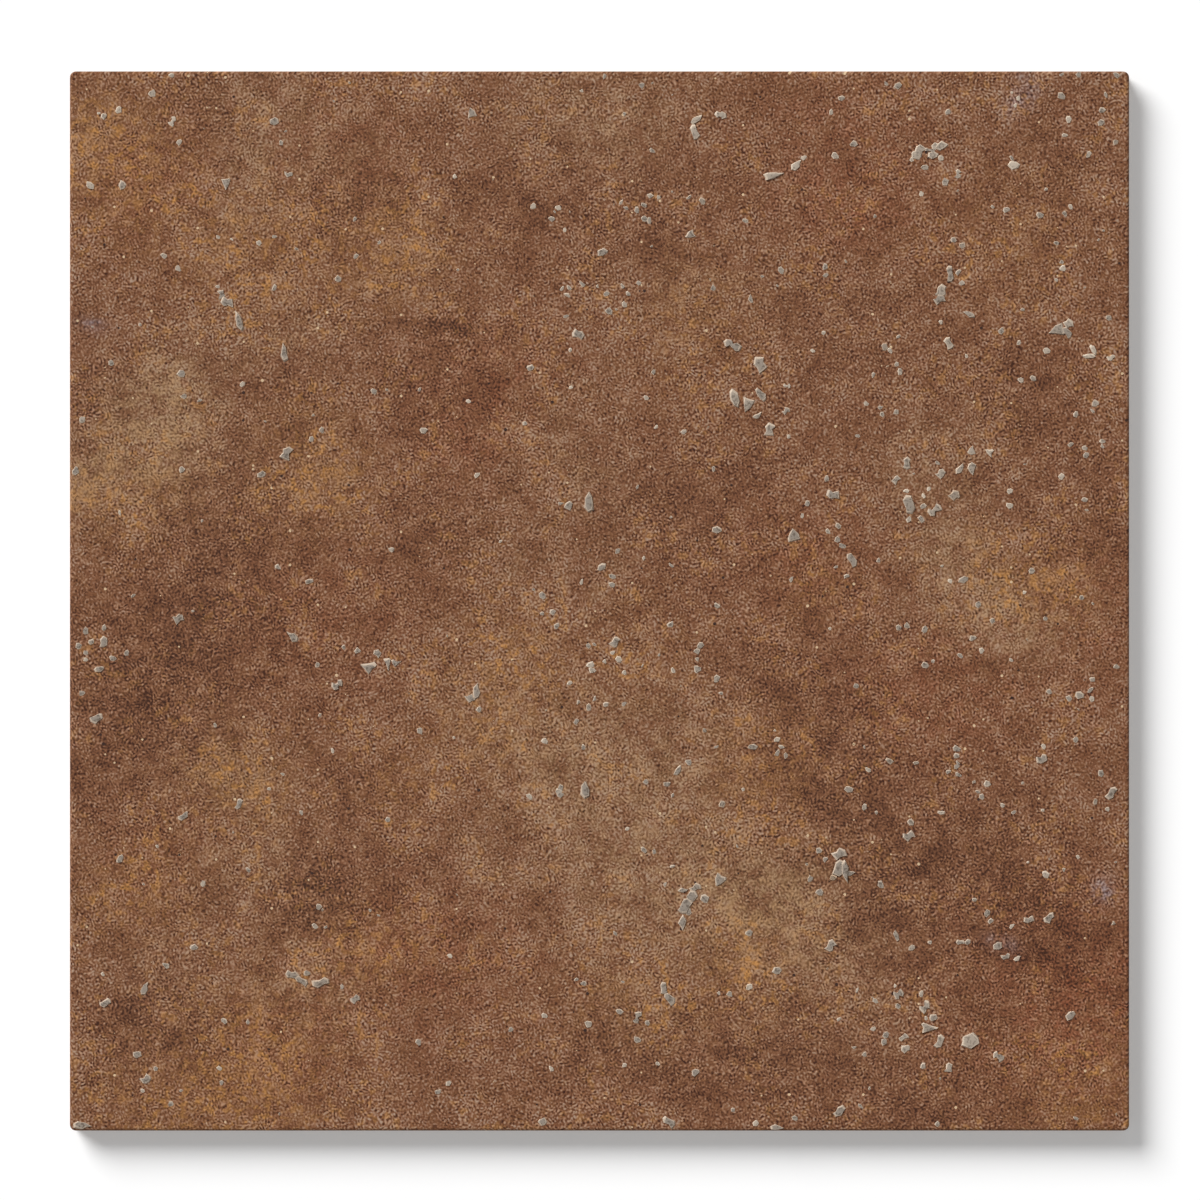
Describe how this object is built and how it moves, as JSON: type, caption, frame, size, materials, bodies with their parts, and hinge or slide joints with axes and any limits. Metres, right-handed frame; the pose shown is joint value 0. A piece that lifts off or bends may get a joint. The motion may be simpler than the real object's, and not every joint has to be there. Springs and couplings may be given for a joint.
{
  "type": "porcelain tile",
  "caption": "Square pressed porcelain floor tile with a matt brown grained face, grey mineral chips, eased edges and a ribbed key pattern on its back.",
  "frame": {"origin": "centre of the tile's outline on the plane of its back ribs, which rest on the floor", "axes": "+Z out of the wearing face, +X and +Y along the tile's two sides"},
  "size_m": [0.298, 0.298, 0.009],
  "materials": {
    "porcelain": "matte"
  },
  "bodies": {
    "root": {"porcelain_tile": "porcelain"}
  },
  "joints": []
}
